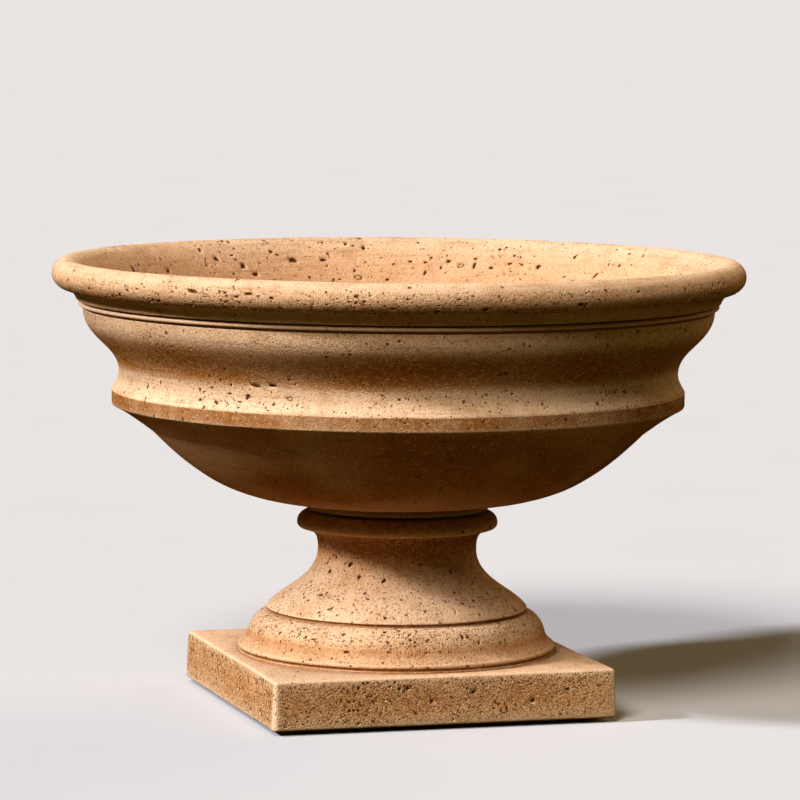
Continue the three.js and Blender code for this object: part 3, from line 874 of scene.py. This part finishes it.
# Small turned pieces: a closed ring where it has a bore, and a disc closed on the axis where it has none
def turnedPiece(name, runs, columns, centre=(0, 0), disc=False):
    rows = rowsOf(runs)[0]
    turn = np.arange(columns) * 2 * math.pi / columns
    height = len(rows)
    x, y = centre
    points = [(x + r * math.cos(a), y + r * math.sin(a), z) for r, z in rows[:, [0, 3]] for a in turn]
    faces = []
    for i in range(height - 1 if disc else height):
        n = (i + 1) % height
        for j in range(columns):
            m = (j + 1) % columns
            faces.append((i * columns + j, i * columns + m, n * columns + m, n * columns + j))
    if disc:
        faces.append(tuple(range(columns))[::-1])
        faces.append(tuple(range((height - 1) * columns, height * columns)))
    mesh = bpy.data.meshes.new(name)
    mesh.from_pydata((np.array(points) * mm).tolist(), [], faces)
    mesh.polygons.foreach_set("use_smooth", [len(f.vertices) == 4 for f in mesh.polygons])
    mesh.update()
    return newObject(name, mesh)


# Natural rubber, moulded: to the eye it is matt and near black, with a bloom of dust that greys it in patches
rubberLook = {
    "colours": [(0.35, "#191614"), (0.75, "#332C25")],
    "patchSize": 9,  # mm
    "patch": {"Detail": 4},
    "grainSize": 0.8,  # the moulded grain is finer, drawn as coarse as it needs to show
    "grainDepth": 0.15,
    "grainStrength": 0.4,
    "roughness": (0.62, 0.88),
    "shader": {"IOR": 1.52, "Specular IOR Level": 0.15},
}

# Polypropylene, injection moulded with a fine spark-eroded grain: to the eye it is dark grey and satin, with
# pale lime from the water in patches
plasticLook = {
    "colours": [(0.5, "#3E3D3A"), (0.8, "#6C665C")],
    "patchSize": 14,  # mm
    "patch": {"Detail": 5, "Roughness": 0.65},
    "grainSize": 0.6,  # drawn as coarse as it needs to show
    "grainDepth": 0.08,
    "grainStrength": 0.35,
    "roughness": (0.42, 0.75),
    "shader": {"IOR": 1.49},
}


def moulded(name, look):
    material = newMaterial(name)
    place = addNode(material, "TexCoord")["Object"]
    inputs = {"Vector": place, "Scale": perMetre(look["patchSize"])} | look["patch"]
    patches = addNode(material, "TexNoise", inputs=inputs)["Fac"]
    inputs = {"Vector": place, "Scale": perMetre(look["grainSize"]), "Detail": 2}
    grain = addNode(material, "TexNoise", inputs=inputs)["Fac"]
    least, most = look["roughness"]
    rough = addNode(material, "MapRange", inputs={"Value": patches, "To Min": least, "To Max": most})[0]
    inputs = {"Strength": look["grainStrength"], "Distance": look["grainDepth"] * mm, "Height": grain}
    relief = addNode(material, "Bump", inputs=inputs)[0]
    tint = addNode(material, "ValToRGB", inputs={"Fac": patches}, stops=look["colours"])[0]
    inputs = {"Base Color": tint, "Roughness": rough, "Normal": relief} | look["shader"]
    shader = addNode(material, "BsdfPrincipled", inputs=inputs)[0]
    addNode(material, "OutputMaterial", inputs={"Surface": shader})
    return material


# Pads, bedding ring, sleeve and grate, in millimetres
smallParts = {
    "pad": {"radius": 26.0, "middle": 0.4, "height": 5.0, "reach": 153.7, "edge": 1.2, "columns": 72},
    "ring": {"inner": 59.1, "outer": 97.1, "bottom": 220.8, "top": 223.8, "edge": 0.6, "columns": 128},
    "sleeve": {"bore": 16.5, "tube": 20.0, "flange": 45.0, "rebate": 33.7,
               "levels": (200.1, 259.1, 262.8, 267.1), "edge": 0.5, "columns": 96},
    "grateEdge": 0.3,
}


def buildPads(material):
    p = smallParts["pad"]
    radius, height, middle = p["radius"], p["height"], p["middle"]
    outline = [
        run(straight((middle, 0), (radius, 0)), "pad", 9),
        run(straight((radius, 0), (radius, height)), "pad", 2, p["edge"]),
        run(straight((radius, height), (middle, height)), "pad", 9, p["edge"]),
    ]
    for side, x in (("left", -1), ("right", 1)):
        for end, y in (("front", -1), ("back", 1)):
            centre = (x * p["reach"], y * p["reach"])
            piece = turnedPiece(f"pad_{end}_{side}", outline, p["columns"], centre, True)
            dress(piece, material)
            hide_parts(f"foot_pad_{end}_{side}")
            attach(piece, "pedestal")


def buildRing(material):
    p = smallParts["ring"]
    inner, outer, bottom, top = p["inner"], p["outer"], p["bottom"], p["top"]
    corners = [(inner, bottom), (outer, bottom), (outer, top), (inner, top)]
    piece = turnedPiece("bedding_ring", chain(corners + corners[:1], "ring", 8, p["edge"]), p["columns"])
    dress(piece, material)
    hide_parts("setting_ring")
    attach(piece, "pedestal")


def buildSleeve(material):
    p = smallParts["sleeve"]
    bottom, flangeBottom, ledge, top = p["levels"]
    bore, tube, flange, rebate = p["bore"], p["tube"], p["flange"], p["rebate"]
    corners = [(bore, bottom), (tube, bottom), (tube, flangeBottom), (flange, flangeBottom), (flange, top),
               (rebate, top), (rebate, ledge), (bore, ledge)]
    outline = chain(corners + corners[:1], "sleeve", 8, p["edge"])
    piece = turnedPiece("sleeve_moulding", outline, p["columns"])
    dress(piece, material)
    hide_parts("drain_sleeve")
    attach(piece, "bowl")


rubber = moulded("MouldedRubber", rubberLook)
plastic = moulded("MouldedPolypropylene", plasticLook)
buildPads(rubber)
buildRing(rubber)
buildSleeve(plastic)
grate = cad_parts["drain_grate"]
dress(grate, plastic)
soften = grate.modifiers.new("moulded edges", "BEVEL")
soften.width = smallParts["grateEdge"] * mm
soften.segments = 2
soften.limit_method = "ANGLE"
print("pads, ring, sleeve and grate made")


# A pale floor under a key lamp, a broad fill, a faint lamp behind and a dim even sky. A lamp is given by its
# strength, its turn in degrees from the camera's line of sight, left below 0 and right above, its height in
# degrees, its spread and its colour
studio = {
    "floor": "#D2D3D6",
    "floorFibre": "#D4D5D8",
    "floorFibreScale": 3.0,  # for each metre
    "floorShade": "#524A24",  # what the floor throws back up at the stone
    "floorReach": 120,  # metres
    "sky": "#FFD874",
    "skyStrength": 0.035,
    "backdrop": "#F4F2F0",
    "lamps": {
        "key": (3.6, -70, 33, 6, "#F5F6FF"),
        "fill": (2.5, -24, 42, 22, "#FFF7EC"),
        "back": (0.8, 132, 28, 40, "#FFDCA8"),
    },
}

# Camera, in millimetres and degrees, as the photograph was taken
shot = {
    "turn": 16.56, "distance": 5180, "height": 863, "tilt": 5.695, "pan": 0.023, "roll": 0.44,
    "focal": 4576.8, "frame": 800,
}


def buildCamera(s):
    data = bpy.data.cameras.new("camera")
    data.sensor_width = 36
    data.lens = s["focal"] * data.sensor_width / s["frame"]
    data.clip_start, data.clip_end = 0.1, 300
    camera = newObject("camera", data)

    def turned(degrees, axis):
        return Matrix.Rotation(math.radians(degrees), 4, axis)

    place = turned(-s["turn"], "Z") @ Matrix.Translation((0, -s["distance"] * mm, s["height"] * mm))
    aim = turned(-s["pan"], "Z") @ turned(90 - s["tilt"], "X")
    camera.matrix_world = place @ aim @ turned(s["roll"], "Z")
    bpy.context.scene.camera = camera


# 1 for the rays that show the background: straight from the camera, mirrored, or through glass
def looksAt(owner):
    rays = addNode(owner, "LightPath")
    add = {"operation": "ADD", "use_clamp": True}
    either = addNode(owner, "Math", add, {0: rays["Is Camera Ray"], 1: rays["Is Glossy Ray"]})[0]
    return addNode(owner, "Math", add, {0: either, 1: rays["Is Transmission Ray"]})[0]


# Matt paper: to the eye it is plain, with the faintest change of tone from its fibres
def mattPaper(s):
    material = newMaterial("MattPaper")
    place = addNode(material, "TexCoord")["Object"]
    inputs = {"Vector": place, "Scale": s["floorFibreScale"], "Detail": 3}
    fibre = addNode(material, "TexNoise", inputs=inputs)["Fac"]
    colours = [(0.3, s["floor"]), (0.7, s["floorFibre"])]
    tint = addNode(material, "ValToRGB", inputs={"Fac": fibre}, stops=colours)[0]
    inputs = {0: looksAt(material), 6: linearColour(s["floorShade"]), 7: tint}
    both = addNode(material, "Mix", {"data_type": "RGBA"}, inputs)[2]
    inputs = {"Base Color": both, "Roughness": 0.95, "Specular IOR Level": 0.0}
    shader = addNode(material, "BsdfPrincipled", inputs=inputs)[0]
    addNode(material, "OutputMaterial", inputs={"Surface": shader})
    return material


def buildFloor(s):
    mesh = bpy.data.meshes.new("floor")
    reach = s["floorReach"]
    rim = [(reach * math.cos(a), reach * math.sin(a), 0) for a in np.linspace(0, 2 * math.pi, 97)[:-1]]
    mesh.from_pydata(rim, [], [tuple(range(len(rim)))])
    mesh.materials.append(mattPaper(s))
    floor = newObject("floor", mesh)


def buildLamp(name, strength, turn, height, spread, colour):
    data = bpy.data.lights.new(name, "SUN")
    data.energy = strength
    data.color = linearColour(colour)[:3]
    data.angle = math.radians(spread)
    lamp = newObject(name, data)
    turn, height = math.radians(shot["turn"] - turn), math.radians(height)
    level = math.cos(height)
    toLamp = Vector((-math.sin(turn) * level, -math.cos(turn) * level, math.sin(height)))
    lamp.rotation_mode = "QUATERNION"
    lamp.rotation_quaternion = toLamp.to_track_quat("Z", "Y")


def buildSky(s):
    world = bpy.data.worlds.new("sky")
    bpy.context.scene.world = world
    world.use_nodes = True
    world.node_tree.nodes.clear()
    inputs = {"Color": linearColour(s["sky"]), "Strength": s["skyStrength"]}
    glow = addNode(world, "Background", inputs=inputs)[0]
    inputs = {"Color": linearColour(s["backdrop"]), "Strength": 1.0}
    seen = addNode(world, "Background", inputs=inputs)[0]
    both = addNode(world, "MixShader", inputs={0: looksAt(world), 1: glow, 2: seen})[0]
    addNode(world, "OutputWorld", inputs={"Surface": both})


buildFloor(studio)
buildCamera(shot)
for lamp, setting in studio["lamps"].items():
    buildLamp(lamp, *setting)
buildSky(studio)
bpy.context.scene.view_settings.view_transform = "Standard"
print("studio made")
